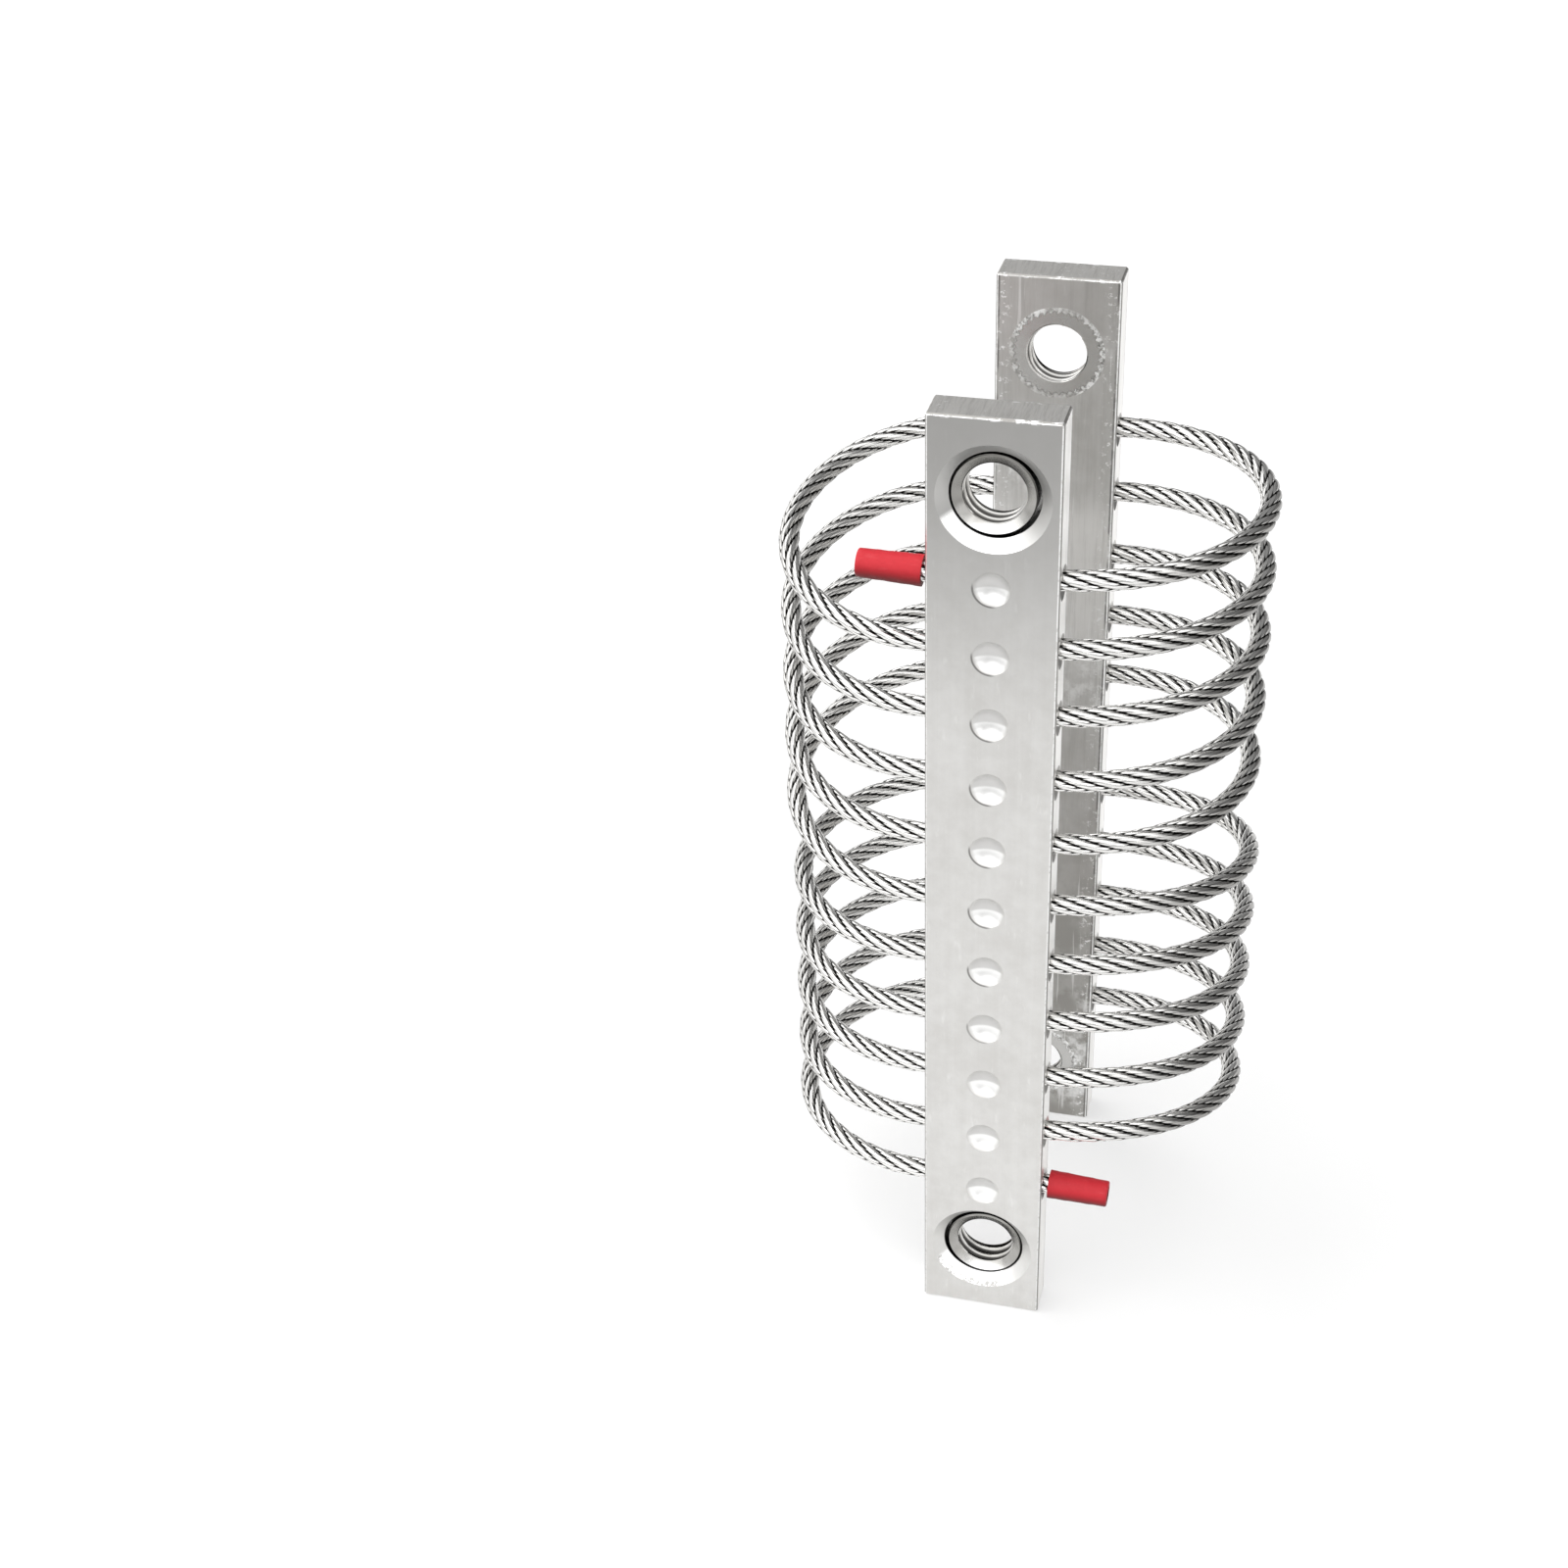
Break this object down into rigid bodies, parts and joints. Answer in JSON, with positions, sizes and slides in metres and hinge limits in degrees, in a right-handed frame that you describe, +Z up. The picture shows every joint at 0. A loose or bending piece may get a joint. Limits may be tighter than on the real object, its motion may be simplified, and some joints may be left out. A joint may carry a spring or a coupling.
{
  "type": "wire rope isolator",
  "caption": "Vibration isolator: two flat aluminium bars with threaded inserts, joined by one steel wire rope laced through them in open loops.",
  "frame": {"origin": "on the standing surface, midway between the two bars", "axes": "+Z up along the bars, +Y from the front bar to the rear bar, +X to the right"},
  "size_m": [0.0712, 0.054, 0.152],
  "materials": {
    "bar": "satin, drawn",
    "insert": "satin stainless",
    "rope": "bright drawn wire",
    "sleeve": "soft red shrink tube"
  },
  "bodies": {
    "front_mount": {"front_bar": "bar", "front_upper_insert": "insert", "front_lower_insert": "insert", "wire_rope": "rope", "upper_end_sleeve": "sleeve", "lower_end_sleeve": "sleeve"},
    "rear_mount": {"rear_bar": "bar", "rear_upper_insert": "insert", "rear_lower_insert": "insert"}
  },
  "joints": [
    {"name": "compression", "type": "slide", "parent": "front_mount", "child": "rear_mount", "axis": [0, 1, 0], "range_m": [-0.018, 0.006], "stiffness_N_per_m": 6000, "deforming": ["wire_rope"]}
  ]
}
